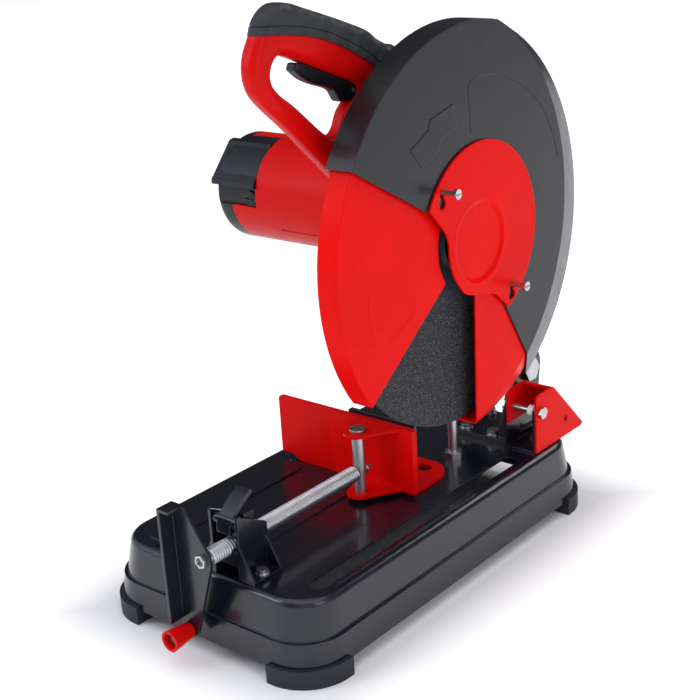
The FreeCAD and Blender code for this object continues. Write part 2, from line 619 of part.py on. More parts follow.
def drum(radius, back, face, shift):
    """A disc whose rear half has the wide bevel, its face moved back by shift."""
    low = GF - BD - shift
    reach = 1 + 2.0 / BD
    plain = cyl("X", back, SY, SPZ, radius, face - back, "Rim")
    slant = doc.addObject("Part::Extrusion", fresh("Bevel"))
    slant.Base = sketch("YZ", low, [("circle", SY, SPZ, BR)], "BevelSketch")
    slant.DirMode = "Custom"
    slant.Dir = Vector(BD * reach, BY * reach, BZ * reach)
    slant.LengthFwd = slant.Dir.Length
    slant.Solid = True
    zone = cyl("X", low, SY, SPZ, GR + 90, BD * reach, "BevelZone")
    return cut(plain, cut(zone, slant, name="BevelWaste"), name="Drum")


guard_outer = drum(GR, GB, GF, 0.0)
guard_inner = drum(GR - GT, GB + 1.5, GF - GT, GT)
guard_shell = cut(guard_outer, guard_inner, name="GuardShell")
guard_shell = common(guard_shell, wedge(GB - 5, 40, -59, 150, name="GuardSpan"), "GuardArc")
hub_sheet = cyl("X", GB, SY, SPZ, 52, 1.5, "HubSheet")
screw_spots = [polar(77, 133.5, SY, SPZ), polar(77, -46.5, SY, SPZ)]
collars = [cyl("X", GF - 4, u, v, 4.6, 3, "Collar") for u, v in screw_spots]
arrow_loop = [
    (-30, 128), (-24, 108), (-50, 100), (-52, 92), (-78, 82), (-92, 100), (-66, 112), (-64, 120),
]
arrow = prism("YZ", GF - 0.4, [[(SY + u, SPZ + v) for u, v in arrow_loop]], 1.0, "Arrow")
face_open = cyl("X", GF - 6, SY, SPZ, 62, 10, "FaceOpen")
boss_open = cyl("X", GB - 5, SY, SPZ, 24.0, 12, "BossOpen")
screw_bores = [cyl("X", GF - 6, u, v, 2.5, 10, "CoverScrewBore") for u, v in screw_spots]
guard = fuse(guard_shell, hub_sheet, arrow, *collars, name="GuardBody")
node("upper_guard", cut(guard, face_open, boss_open, *screw_bores, name="UpperGuard"))

FR = D["front_guard_radius"]
front_disc = cut(cyl("X", 94, SY, SPZ, FR, 21.3, "FrontDrum"),
                 cyl("X", 95.2, SY, SPZ, FR - 1.6, 18.4, "FrontVoid"),
                 cyl("X", 110, SY, SPZ, 52, 10, "FrontFaceOpen"), name="FrontShell")
front_arc = common(front_disc, wedge(90, 30, 138, 216, name="FrontSpan"), "FrontArc")
front_ring = cyl("X", 94, SY, SPZ, 36, 1.2, "FrontRing")
front_bore = cyl("X", 90, SY, SPZ, 24.25, 10, "FrontBore")
front_body = fuse(front_arc, front_ring, name="FrontBody")
node("front_guard", cut(front_body, front_bore, name="FrontGuard"))

RR = D["rear_guard_radius"]
rear_outer = drum(RR, GB + 1.6, GF - GT - 0.05, GT + 0.05)
rear_inner = drum(RR - 1.7, GB + 2.8, GF - GT - 1.85, GT + 1.85)
rear_open = cyl("X", 90, SY, SPZ, 54, 40, "RearOpen")
rear_shell = cut(rear_outer, rear_inner, rear_open, name="RearShell")
node("rear_guard", common(rear_shell, wedge(GB - 5, 40, 269, 306, name="RearSpan"), "RearGuard"))

CR = D["cover_radius"]
a0 = -62.0
a1 = 152.0
cover_loop = [
    polar(CR, a0, SY + 7, SPZ + 1),
    polar(CR, (a0 + a1) / 2, SY + 7, SPZ + 1) + polar(CR, a1, SY + 7, SPZ + 1),
    (SY - 55, SPZ + 25), (SY - 46, SPZ + 12, SY - 44, SPZ + 1),
    (SY - 41, SPZ - 18, SY - 30, SPZ - 36),
    (SY - 22, SPZ - 45, SY - 12, SPZ - 49), (SY + 4, SPZ - 54, SY + 18, SPZ - 56),
    (SY + 28, SPZ - 60, SY + 34, SPZ - 65),
]
cover_plate = prism("YZ", GF + 0.4, [cover_loop], 2.0, "CoverPlate")
dish = cone("X", GF + 0.4 - 2.2, SY + 3, SPZ - 2, 36, 42, 4.3, "Dish")
dish_cut = cone("X", GF + 0.4, SY + 3, SPZ - 2, 34.5, 40, 2.8, "DishCut")
cover_holes = []
for u, v in screw_spots:
    cover_holes.append(cyl("X", GF - 3, u, v, 2.9, 10, "KeyNarrow"))
    cover_holes.append(cyl("X", GF - 3, u, v - 10.4, 5.2, 10, "KeyWide"))
    cover_holes.append(box(GF - 3, u - 2.9, v - 10.4, 10, 5.8, 10.4, "KeyNeck"))
cover = fuse(cover_plate, dish, name="CoverBody")
node("hub_cover", cut(cover, dish_cut, *cover_holes, name="HubCover"))
cover_screws = []
for u, v in screw_spots:
    shank = cyl("X", GF - 4, u, v, 2.5, 22, "CoverShank")
    head = cyl("X", GF + 17, u, v, 4.6, 3.2, "CoverHead")
    notch = box(GF + 19, u - 5, v - 0.6, 3, 10, 1.2, "CoverNotch")
    cover_screws.append(cut(fuse(shank, head, name="CoverScrewBody"), notch, name="CoverScrew"))
node("cover_screws", group(*cover_screws, name="CoverScrews"))

# ---------------------------------------------------------------- spindle, wheel and gears
WX = D["wheel_x"]
WT = D["wheel_thick"]
w0 = WX - WT / 2
w1 = WX + WT / 2
wheel_disc = cyl("X", w0, SY, SPZ, "wheel_radius", "wheel_thick", "WheelDisc")
wheel_bore = cyl("X", w0 - 1, SY, SPZ, "arbor_radius", 8, "WheelBore")
node("abrasive_wheel", cut(wheel_disc, wheel_bore, name="AbrasiveWheel"))
spindle_bar = cyl("X", 50.6, SY, SPZ, "spindle_radius", w1 - 50.8, "SpindleBar")
spindle_thread = cyl("X", 86, SY, SPZ, 4, 20, "SpindleThread")
node("spindle", cut(spindle_bar, spindle_thread, name="Spindle"))
flange_hub = cyl("X", 90, SY, SPZ, 14, 5.7, "FlangeHub")
flange_disc = cyl("X", 95.7, SY, SPZ, 32, w0 - 95.7, "FlangeDisc")
flange_pilot = cyl("X", w0, SY, SPZ, 12.65, WT - 0.2, "FlangePilot")
flange_bore = cyl("X", 80, SY, SPZ, "spindle_radius", 30, "FlangeBore")
inner_flange = fuse(flange_hub, flange_disc, flange_pilot, name="InnerFlangeBody")
flange_relief = cut(cyl("X", w0 - 0.8, SY, SPZ, 26, 0.8, "ReliefDisc"),
                    cyl("X", w0 - 1, SY, SPZ, 14, 2, "ReliefKeep"), name="FlangeRelief")
node("inner_flange", cut(inner_flange, flange_relief, flange_bore, name="InnerFlange"))
outer_disc = cone("X", w1, SY, SPZ, 32, 29, 4.6, "OuterDisc")
outer_bore = cyl("X", w1 - 1, SY, SPZ, 4.1, 10, "OuterBore")
outer_relief = cyl("X", w1 - 1, SY, SPZ, 26, 1.8, "OuterRelief")
node("outer_flange", cut(outer_disc, outer_bore, outer_relief, name="OuterFlange"))
bolt_head = prism("YZ", w1 + 4.6, [hexagon(8, SY, SPZ, 12)], 6, "WheelBoltHead")
bolt_shank = cyl("X", 87, SY, SPZ, 4, w1 + 5 - 87, "WheelBoltShank")
node("wheel_bolt", fuse(bolt_head, bolt_shank, name="WheelBolt"))


def gear_loop(teeth, cu, cv, phase):
    """Straight-flanked teeth with backlash, as a closed outline."""
    m = D["gear_module"]
    pitch = teeth * m / 2.0
    tip = pitch + 0.75 * m
    root = pitch - 1.05 * m
    points = []
    for i in range(teeth):
        mid = phase + 360.0 * i / teeth
        for radius, half in ((root, 1.15), (tip, 0.42), (tip, -0.42), (root, -1.15)):
            points.append(polar(radius, mid - math.degrees(half / radius), cu, cv))
    return points


gear_angle = math.degrees(math.atan2(MZ - SPZ, MY - SY))
gt = int(D["gear_teeth"])
pt = int(D["pinion_teeth"])
gear_teeth = prism("YZ", 64, [gear_loop(gt, SY, SPZ, gear_angle)], "gear_width", "GearTeeth")
gear_bore = cyl("X", 60, SY, SPZ, "spindle_radius", 20, "GearBore")
node("drive_gear", cut(gear_teeth, gear_bore, name="Gear"))
pinion_loop = gear_loop(pt, MY, MZ, gear_angle + 180 + 180.0 / pt)
pinion = prism("YZ", 62.5, [pinion_loop], 15, "PinionTeeth")
armature_bar = cyl("X", -128, MY, MZ, 6, 192, "ArmatureShaft")
node("armature_shaft", fuse(pinion, armature_bar, name="ArmatureShaftBody"))
core_disc = cyl("X", -66, MY, MZ, 26.5, 82, "CoreDisc")
core_cuts = [cyl("X", -70, MY, MZ, 6, 90, "CoreBore")]
for i in range(12):
    u, v = polar(25.5, 30 * i, MY, MZ)
    core_cuts.append(cyl("X", -70, u, v, 2.2, 90, "CoreSlot"))
node("armature_core", cut(core_disc, *core_cuts, name="ArmatureCore"))
commutator_disc = cyl("X", -102, MY, MZ, 15, 24, "CommutatorDisc")
commutator_bore = cyl("X", -104, MY, MZ, 6, 30, "CommutatorBore")
node("commutator", cut(commutator_disc, commutator_bore, name="Commutator"))
fan_parts = [cyl("X", 36, MY, MZ, 43, 2, "FanDisc"), cyl("X", 26, MY, MZ, 11, 12, "FanHub")]
for i in range(11):
    blade = box(27, -0.9, 16, 9.5, 1.8, 26, "Blade")
    turn = Placement(Vector(0, MY, MZ), Rotation(Vector(1, 0, 0), 360.0 * i / 11))
    blade.Placement = turn.multiply(Placement(Vector(27, -0.9, 16), Rotation()))
    fan_parts.append(blade)
fan_bore = cyl("X", 20, MY, MZ, 6, 30, "FanBore")
node("cooling_fan", cut(fuse(*fan_parts, name="FanBody"), fan_bore, name="CoolingFan"))


def bearing(x, width, cu, cv, inner, outer):
    ring = cyl("X", x, cu, cv, outer, width, "BearingOuter")
    return cut(ring, cyl("X", x - 1, cu, cv, inner, width + 2, "BearingBore"), name="Bearing")


spindle_rear = bearing(51, 9, SY, SPZ, 8.05, 14)
spindle_front = bearing(79.5, 9.5, SY, SPZ, 8.05, 18)
node("spindle_bearings", group(spindle_rear, spindle_front, name="SpindleBearings"))
armature_front = bearing(45, 10, MY, MZ, 6.05, 14)
armature_rear = bearing(-128, 8, MY, MZ, 6.05, 13)
node("armature_bearings", group(armature_front, armature_rear, name="ArmatureBearings"))

# ---------------------------------------------------------------- motor housing
SPLIT = -84.0
STEP = 10.5


def motor_slice(start, end, x, length, name):
    """A pie slice about the motor axis."""
    count = max(2, int((end - start) / 30) + 1)
    points = [(MY, MZ)]
    for i in range(count + 1):
        points.append(polar(120, start + (end - start) * i / count, MY, MZ))
    return prism("YZ", x, [points], length, name)


def end_rim(edge):
    bounds = edge.BoundBox
    return abs(bounds.XMin + 140) < 0.01 and abs(bounds.XMax + 140) < 0.01


stator_disc = cyl("X", -70, MY, MZ, 48, 88, "StatorDisc")
stator_bore = cyl("X", -71, MY, MZ, 28, 90, "StatorBore")
node("stator", cut(stator_disc, stator_bore, name="Stator"))
housing_drum = cyl("X", SPLIT, MY, MZ, MR, CB - SPLIT, "HousingDrum")
housing_bore = cyl("X", SPLIT - 1, MY, MZ, 48, CB - SPLIT + 2, "HousingBore")
housing_tube = cut(housing_drum, housing_bore, name="HousingTube")
end_drum = fillet(cyl("X", -140, MY, MZ, MR, 140 + SPLIT, "EndDrum"), 12, end_rim, "EndDrumRound")
end_narrow = cyl("X", -134, MY, MZ, 40, 60, "EndVoid")
end_wide = cyl("X", -126, MY, MZ, 48, 60, "EndVoidWide")
end_void = fuse(end_narrow, end_wide, name="EndVoidBody")
end_shell = cut(end_drum, end_void, name="EndShell")
lower_finger = motor_slice(189, 358, -116, 60, "LowerFinger")
upper_finger = motor_slice(80, 100, -122, 60, "UpperFinger")
fingers = fuse(lower_finger, upper_finger, name="Fingers")
finger_shell = common(end_shell, fingers, "FingerShell")
vents = [box(-30 + 13 * i, MY - 12, MZ - MR - 4, 6, 24, 10, "Vent") for i in range(5)]
seam_y, seam_z = polar(MR + 0.4, 213, MY, MZ)
seam = cyl("X", -60, seam_y, seam_z, 1.4, 110, "Seam")
brush_wells = [cyl("Y", -92, MY - 60, MZ, 7.5, 15, "BrushWellFront"),
               cyl("Y", -92, MY + 45, MZ, 7.5, 15, "BrushWellRear")]
holder_room = box(-99, MY - 49, MZ - 7, 14, 98, 14, "HolderRoom")
housing = fuse(housing_tube, finger_shell, name="HousingBody")
node("motor_housing", cut(housing, seam, holder_room, *vents, *brush_wells, name="MotorHousing"))

# The cap has a raised block on its upper front side and a recess under the block's lower edge.
block_points = [(-5, 38), (-18, 49), (-24, 48), (-53.5, 14.5), (-53.5, STEP), (-30, STEP)]
block_loop = [(MY + u, MZ + v) for u, v in block_points]
block = cut(prism("YZ", -140, [block_loop], 140 + SPLIT, "CapBlockPlain"), end_void, name="CapBlock")
recess = cut(motor_slice(168.5, 189, -141, 57, "RecessSlice"),
             cyl("X", -142, MY, MZ, 49.2, 60, "RecessKeep"), name="CapRecess")
cap_plain = cut(end_shell, fingers, recess, name="CapPlain")
cap_cup = cut(cyl("X", -136, MY, MZ, 17, 17, "BearingCup"),
              cyl("X", -128.5, MY, MZ, 13, 20, "CupBore"), name="CapCup")
air_slots = [box(-142, MY - 24, MZ + 8 * i - 1.6, 12, 48, 3.2, "AirSlot") for i in range(-3, 4)]
air_zone = cut(cyl("X", -142, MY, MZ, 30, 10, "AirDisc"),
               cyl("X", -143, MY, MZ, 19, 12, "AirKeep"), name="AirZone")
air = common(fuse(*air_slots, name="AirSlots"), air_zone, "AirCut")
holders = []
brush_caps = []
brushes = []
for side in (-1, 1):
    near = min(MY + side * 48.5, MY + side * 18)
    holder_bore = box(-96.2, MY - 60, MZ - 4.2, 8.4, 120, 8.4, "HolderBore")
    holders.append(cut(box(-98.5, near, MZ - 6.5, 13, 30.5, 13, "HolderBody"), holder_bore, name="Holder"))
    cap_y = MY + side * 45 - (6 if side < 0 else 0)
    slit_y = MY - 52 if side < 0 else MY + 50
    brush_cap = cyl("Y", -92, cap_y, MZ, 7.3, 6, "BrushCapBody")
    slit = box(-98, slit_y, MZ - 0.8, 12, 2.0, 1.6, "BrushSlit")
    brush_caps.append(cut(brush_cap, slit, name="BrushCap"))
    brush_y = MY - 44.9 if side < 0 else MY + 15.4
    brushes.append(box(-96, brush_y, MZ - 4, 8, 29.5, 8, "Brush"))
cap = fuse(cap_plain, block, cap_cup, *holders, name="CapBody")
node("motor_end_cap", cut(cap, air, *brush_wells, name="EndCap"))
node("brush_caps", group(*brush_caps, name="BrushCaps"))
node("carbon_brushes", group(*brushes, name="CarbonBrushes"))
gland_collar = cyl("Y", 58, 29, 432, 9.5, 5, "GlandCollar")
gland_sleeve = cone("Y", 58, 34, 432, 8.5, 6, 16, "GlandSleeve")
gland_bore = cyl("Y", 58, 28, 432, 4.2, 30, "GlandBore")
gland = fuse(gland_collar, gland_sleeve, name="GlandBody")
node("cord_gland", cut(gland, gland_bore, name="CordGland"))

# ---------------------------------------------------------------- handle
HL = D["handle_left"]
HR = D["handle_right"]
HW = HR - HL
handle_out = [
    (-162, 537), (-168, 527), (-171.5, 516), (-171.5, 504), (-167, 492), (-156, 480), (-132, 459),
    (-62, 395), (-20, 372), (10, 388), (29, 410), (29, 452), (13, 506), (-2, 512), (-16, 519),
    (-30, 528), (-68, 542), (-104, 554), (-121, 560), (-139, 562), (-150, 557), (-158, 548),
]
handle_in = [
    (-140, 520), (-124, 516.5), (-97, 504.5), (-74, 495), (-54, 486.5), (-46, 477), (-64, 463),
    (-70, 449), (-80, 445), (-92, 450.5), (-124, 477), (-142, 490), (-151, 501), (-150, 512),
]
grip_line = [
    (-185, 537), (-165, 538), (-130, 535), (-95, 528), (-58, 513), (-33, 500), (-16, 488), (3, 494),
]
grip_above = [(5, 520), (-20, 540), (-80, 575), (-185, 575)]


def handle_edge(edge):
    """The loop's long edges, away from the motor."""
    bounds = edge.BoundBox
    on_side = abs(bounds.XMin - HL) < 0.01 or abs(bounds.XMin - HR) < 0.01
    return on_side and bounds.XLength < 0.01 and bounds.ZMin > 443 and edge.Length > 4


def grip_edge(edge):
    bounds = edge.BoundBox
    on_side = abs(bounds.XMin - HL + 1.5) < 0.01 or abs(bounds.XMin - HR - 1.5) < 0.01
    return on_side and bounds.XLength < 0.01 and bounds.ZMax > 541 and edge.Length > 8


handle_plain = prism("YZ", HL, [handle_out, handle_in], HW, "HandleLoop")
handle_round = fillet(handle_plain, 5, handle_edge, "HandleRound")
grip_zone = prism("YZ", HL - 5, [grip_line + grip_above], HW + 10, "GripZone")
trim_motor = cyl("X", HL - 5, MY, MZ, MR, 40, "HandleTrimMotor")
trim_spindle = cyl("X", HL - 5, SY, SPZ, 48, 60, "HandleTrimSpindle")
switch_room = prism("YZ", 51, [[
    (-128, 522), (-120, 505), (-72, 478), (-60, 462), (-40, 466), (-36, 496), (-92, 522),
]], 14, "SwitchRoom")
frame = cut(handle_round, grip_zone, switch_room, trim_motor, trim_spindle, name="HandleFrame")
node("handle_frame", frame)
grip_wide = prism("YZ", HL - 1.5, [handle_out], HW + 3, "GripWide")
grip_keep = prism("YZ", HL - 5, [[(u, v + 0.2) for u, v in grip_line[:-1]] + [(3, 494)] + grip_above],
                  HW + 10, "GripKeep")
grip_plain = common(grip_wide, grip_keep, "GripPlain")
node("handle_grip", fillet(grip_plain, 6, grip_edge, "GripRound"))
trigger_loop = [
    (-121, 505), (-119, 512), (-104, 508), (-76, 496.5), (-58, 488.5), (-47, 487), (-44, 476),
    (-51, 470), (-67, 471.5), (-72, 482), (-93, 489), (-110, 497),
]
trigger_hole = cyl("X", 40, -50.5, 479, 2.06, 40, "TriggerHole")
trigger_blade = prism("YZ", 52, [trigger_loop], 12, "TriggerBlade")
node("trigger", cut(trigger_blade, trigger_hole, name="Trigger"))
node("trigger_pin", group(cyl("X", 51, -50.5, 479, 2.0, 14, "TriggerPinBar"), name="TriggerPin"))
switch_loop = [(-104, 514), (-104, 520.5), (-93, 520.5), (-76, 513), (-76, 501.5)]
node("switch", prism("YZ", 51, [switch_loop], 14, "Switch"))

# ---------------------------------------------------------------- checks and files
doc.recompute()
for obj in doc.Objects:
    if "Invalid" in obj.State or "Error" in obj.State:
        raise RuntimeError("%s is in state %s" % (obj.Name, obj.State))
for obj in nodes:
    shape = obj.Shape
    if shape.isNull() or not shape.isValid():
        raise RuntimeError("%s has no valid shape" % obj.Label)
    if not shape.Solids:
        raise RuntimeError("%s has no solid" % obj.Label)
    shape.exportStep("parts/%s.step" % obj.Label)
print("wrote", len(nodes), "nodes")
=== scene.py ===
import json
import math

import bmesh
import bpy
import numpy as np
from mathutils import Matrix, Vector


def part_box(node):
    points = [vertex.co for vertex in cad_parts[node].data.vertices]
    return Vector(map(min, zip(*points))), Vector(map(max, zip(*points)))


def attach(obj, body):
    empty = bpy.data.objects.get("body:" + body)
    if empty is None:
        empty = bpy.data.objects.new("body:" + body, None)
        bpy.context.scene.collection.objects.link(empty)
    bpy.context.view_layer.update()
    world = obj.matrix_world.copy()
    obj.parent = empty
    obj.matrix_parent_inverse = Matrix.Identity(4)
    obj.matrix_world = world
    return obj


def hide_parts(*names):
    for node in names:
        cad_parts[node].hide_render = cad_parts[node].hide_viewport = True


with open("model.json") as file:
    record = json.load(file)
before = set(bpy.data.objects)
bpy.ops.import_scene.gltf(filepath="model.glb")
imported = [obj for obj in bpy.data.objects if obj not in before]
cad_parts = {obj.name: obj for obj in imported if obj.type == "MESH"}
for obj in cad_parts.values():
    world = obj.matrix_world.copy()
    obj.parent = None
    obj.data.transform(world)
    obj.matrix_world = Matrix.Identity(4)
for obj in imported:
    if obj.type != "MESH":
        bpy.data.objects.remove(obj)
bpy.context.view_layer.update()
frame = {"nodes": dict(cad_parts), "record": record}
NODES = frame["nodes"]
MM = 0.001
tray_low, tray_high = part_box("base_tray")
BASE_Y = (tray_low.y + tray_high.y) / 2


# ------------------------------------------------------------ node helpers
class Tree:
    """A material's node tree with short calls for the nodes used here."""

    def __init__(self, name):
        self.material = bpy.data.materials.new(name)
        self.material.use_nodes = True
        self.tree = self.material.node_tree
        self.tree.nodes.clear()
        out = self.node("ShaderNodeOutputMaterial")
        self.shader = self.node("ShaderNodeBsdfPrincipled")
        self.tree.links.new(self.shader.outputs["BSDF"], out.inputs["Surface"])
        self.coord = self.node("ShaderNodeTexCoord").outputs["Object"]

    def node(self, kind, **values):
        made = self.tree.nodes.new(kind)
        for key, value in values.items():
            setattr(made, key, value)
        return made

    def plug(self, value, socket):
        if isinstance(value, bpy.types.NodeSocket):
            self.tree.links.new(value, socket)
        else:
            socket.default_value = value

    def scaled(self, scale, rotation=(0, 0, 0)):
        mapping = self.node("ShaderNodeMapping")
        self.plug(self.coord, mapping.inputs["Vector"])
        mapping.inputs["Scale"].default_value = scale
        mapping.inputs["Rotation"].default_value = rotation
        return mapping.outputs["Vector"]

    def noise(self, scale, detail=3.0, rough=0.55, vector=None, distortion=0.0):
        made = self.node("ShaderNodeTexNoise")
        self.plug(vector or self.coord, made.inputs["Vector"])
        made.inputs["Scale"].default_value = scale
        made.inputs["Detail"].default_value = detail
        made.inputs["Roughness"].default_value = rough
        made.inputs["Distortion"].default_value = distortion
        return made.outputs["Fac"]

    def cells(self, scale, feature="F1", vector=None):
        made = self.node("ShaderNodeTexVoronoi", feature=feature)
        self.plug(vector or self.coord, made.inputs["Vector"])
        made.inputs["Scale"].default_value = scale
        return made.outputs["Distance"], made.outputs["Color"] if feature == "F1" else None

    def ramp(self, value, low, high, out_low=0.0, out_high=1.0):
        made = self.node("ShaderNodeMapRange")
        self.plug(value, made.inputs["Value"])
        made.inputs["From Min"].default_value = low
        made.inputs["From Max"].default_value = high
        made.inputs["To Min"].default_value = out_low
        made.inputs["To Max"].default_value = out_high
        return made.outputs["Result"]

    def math(self, operation, a, b=0.0):
        made = self.node("ShaderNodeMath", operation=operation)
        self.plug(a, made.inputs[0])
        self.plug(b, made.inputs[1])
        return made.outputs[0]

    def mix(self, factor, a, b):
        made = self.node("ShaderNodeMix", data_type="RGBA")
        self.plug(factor, made.inputs["Factor"])
        self.plug(a, made.inputs["A"])
        self.plug(b, made.inputs["B"])
        return made.outputs["Result"]

    def bump(self, height, strength, distance, normal=None):
        made = self.node("ShaderNodeBump")
        self.plug(height, made.inputs["Height"])
        made.inputs["Strength"].default_value = strength
        made.inputs["Distance"].default_value = distance
        if normal is not None:
            self.plug(normal, made.inputs["Normal"])
        return made.outputs["Normal"]

    def round_edges(self, radius):
        made = self.node("ShaderNodeBevel", samples=6)
        made.inputs["Radius"].default_value = radius
        return made.outputs["Normal"]

    def set(self, socket, value):
        self.plug(value, self.shader.inputs[socket])


def rgb(r, g, b):
    """An sRGB colour of 0 to 255 as linear RGBA."""
    def linear(c):
        c /= 255.0
        return c / 12.92 if c <= 0.04045 else ((c + 0.055) / 1.055) ** 2.4
    return (linear(r), linear(g), linear(b), 1.0)


def tint(colour, factor):
    return tuple(min(1.0, c * factor) for c in colour[:3]) + (1.0,)


# ------------------------------------------------------------ materials
def painted(name, colour, rough=0.34, peel=0.08, edge=0.0009, coat=0.25, dust=0.0, wear_and_sheen=0.0, shine=0.4):
    """Powder coat or enamel on sheet metal: faint mottling, orange peel, a little dust, and rounded edges
    painted lighter as a highlight.
    """
    t = Tree(name)
    mottle = t.noise(9.0, 3.0)
    base = t.mix(t.ramp(mottle, 0.3, 0.7), tint(colour, 0.93), tint(colour, 1.07))
    if dust:
        fine = t.noise(130.0, 4.0, 0.6)
        base = t.mix(t.math("MULTIPLY", t.ramp(fine, 0.5, 0.9), dust), base, rgb(150, 148, 145))
    edges = t.round_edges(edge)
    if wear_and_sheen:
        flat = t.node("ShaderNodeNewGeometry").outputs["Normal"]
        turn = t.node("ShaderNodeVectorMath", operation="DOT_PRODUCT")
        t.plug(flat, turn.inputs[0])
        t.plug(edges, turn.inputs[1])
        # Painted highlight: where the rounded-edge normal turns away from the face normal, the colour is
        # lightened, standing in for the bright line along each fold.
        painted_edge_highlight = t.ramp(turn.outputs["Value"], 0.985, 0.90)
        base = t.mix(t.math("MULTIPLY", painted_edge_highlight, wear_and_sheen), base, tint(colour, 2.2))
    t.set("Base Color", base)
    t.set("Roughness", t.ramp(t.noise(40.0, 4.0), 0.3, 0.7, rough - 0.04, rough + 0.05))
    t.set("Coat Weight", coat)
    t.set("Coat Roughness", 0.1)
    t.set("Specular IOR Level", shine)
    t.set("Normal", t.bump(t.noise(240.0, 2.0), peel, 0.0004, edges))
    return t.material


def moulded(name, colour, rough=0.4, grain=0.35, edge=0.0012, grain_scale=1500.0, shine=0.4):
    """Injection-moulded plastic with a spark-eroded grain."""
    t = Tree(name)
    cloud = t.noise(14.0, 3.0)
    t.set("Base Color", t.mix(t.ramp(cloud, 0.3, 0.7), tint(colour, 0.94), tint(colour, 1.06)))
    t.set("Roughness", t.ramp(t.noise(60.0, 4.0), 0.3, 0.7, rough - 0.04, rough + 0.06))
    t.set("Specular IOR Level", shine)
    distance, _ = t.cells(grain_scale)
    t.set("Normal", t.bump(distance, grain, 0.00012, t.round_edges(edge)))
    return t.material


def steel(name, colour, rough=0.22, stretch=(1, 1, 1), line=0.25):
    """Zinc-plated or machined steel with fine lines and small stains."""
    t = Tree(name)
    lines = t.noise(1.0, 4.0, 0.65, t.scaled(tuple(900.0 * s for s in stretch)))
    stain = t.noise(70.0, 5.0, 0.6)
    t.set("Base Color", t.mix(t.ramp(stain, 0.35, 0.75), colour, tint(colour, 0.78)))
    t.set("Metallic", 1.0)
    t.set("Roughness", t.ramp(stain, 0.3, 0.75, rough, rough + 0.14))
    t.set("Normal", t.bump(lines, line, 0.00008, t.round_edges(0.0005)))
    return t.material


def rubber(name, colour, pleated=False):
    """Soft rubber; the grip has slanting pleats across its top."""
    t = Tree(name)
    wear_and_sheen = t.noise(45.0, 5.0)
    t.set("Base Color", t.mix(t.ramp(wear_and_sheen, 0.35, 0.75), colour, tint(colour, 1.25)))
    t.set("Roughness", t.ramp(wear_and_sheen, 0.3, 0.8, 0.5, 0.62))
    t.set("Specular IOR Level", 0.35)
    distance, _ = t.cells(1300.0)
    normal = t.bump(distance, 0.25, 0.0001, t.round_edges(0.001))
    if pleated:
        wave = t.node("ShaderNodeTexWave", wave_type="BANDS", bands_direction="Y", wave_profile="SIN")
        t.plug(t.scaled((1, 1, 1), (0.5, 0, 0.7)), wave.inputs["Vector"])
        wave.inputs["Scale"].default_value = 16.0
        wave.inputs["Distortion"].default_value = 0.6
        wave.inputs["Detail"].default_value = 0.0
        normal = t.bump(wave.outputs["Fac"], 0.8, 0.003, normal)
    t.set("Normal", normal)
    return t.material


def grit(name):
    """Bonded abrasive: fine dark grains, each its own shade, with a few bright facets."""
    t = Tree(name)
    distance, colour = t.cells(1250.0)
    split = t.node("ShaderNodeSeparateColor")
    t.plug(colour, split.inputs["Color"])
    shade = t.mix(t.ramp(split.outputs[2], 0.1, 1.0), rgb(22, 22, 24), rgb(66, 66, 70))
    bright = t.ramp(split.outputs[0], 0.93, 0.99)
    patch = t.ramp(t.noise(32.0, 4.0), 0.3, 0.7, 0.82, 1.0)
    t.set("Base Color", t.mix(t.math("MULTIPLY", bright, patch), shade, rgb(128, 128, 132)))
    t.set("Roughness", t.ramp(split.outputs[1], 0.0, 1.0, 0.5, 0.95))
    t.set("Specular IOR Level", 0.3)
    weave = t.noise(210.0, 2.0)
    height = t.math("ADD", distance, t.math("MULTIPLY", weave, 0.6))
    t.set("Normal", t.bump(height, 0.6, 0.0005))
    return t.material


BLACK = rgb(13, 17, 28)
RED = rgb(226, 8, 6)
MATERIALS = {
    "black_paint": painted("black_paint", BLACK, 0.24, 0.1, 0.0013, 0.3, 0.01, 0.9, 0.4),
    "guard_paint": painted("guard_paint", rgb(23, 23, 27), 0.3, 0.06, 0.0014, 0.1, 0.0, 1.0, 0.3),
    "red_paint": painted("red_paint", RED, 0.3, 0.05, 0.0010, 0.0, 0.0, 0.3, 0.05),
    "red_plastic": moulded("red_plastic", rgb(206, 9, 8), 0.32, 0.15, shine=0.1),
    "black_plastic": moulded("black_plastic", rgb(14, 16, 21), 0.34, 0.3, shine=0.3),
    "grip_rubber": rubber("grip_rubber", rgb(44, 45, 48), True),
    "foot_rubber": rubber("foot_rubber", rgb(34, 36, 42)),
    "zinc_steel": steel("zinc_steel", rgb(196, 197, 198), 0.26, (1, 1, 1), 0.1),
    "bare_steel": steel("bare_steel", rgb(176, 177, 180), 0.28, (0.2, 1, 1), 0.5),
    # On the wheel's outer flange this dark steel is painted shade, standing in for the shadow inside the
    # guard.
    "dark_steel": steel("dark_steel", rgb(62, 63, 68), 0.4, (1, 0.3, 1), 0.4),
    "abrasive": grit("abrasive"),
    "cast_alloy": painted("cast_alloy", rgb(200, 14, 11), 0.4, 0.35, 0.0016, 0.2),
    "arm_alloy": painted("arm_alloy", rgb(34, 35, 40), 0.45, 0.4, 0.0018, 0.15),
    "white_plastic": moulded("white_plastic", rgb(236, 236, 232), 0.35, 0.15),
    "copper": steel("copper", rgb(196, 128, 88), 0.25, (1, 4, 4), 0.5),
    "carbon": moulded("carbon", rgb(26, 26, 28), 0.6, 0.5),
}

SLOT_OF = {part["node"]: part["material_slot"] for part in frame["record"]["subparts"]}
for name, obj in NODES.items():
    obj.data.materials.clear()
    obj.data.materials.append(MATERIALS[SLOT_OF[name]])


# ------------------------------------------------------------ mesh helpers
def link(obj, material, body, slot_name, *replaced):
    obj.data.materials.clear()
    obj.data.materials.append(MATERIALS[material])
    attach(obj, body)
    if replaced:
        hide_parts(*replaced)
    return obj


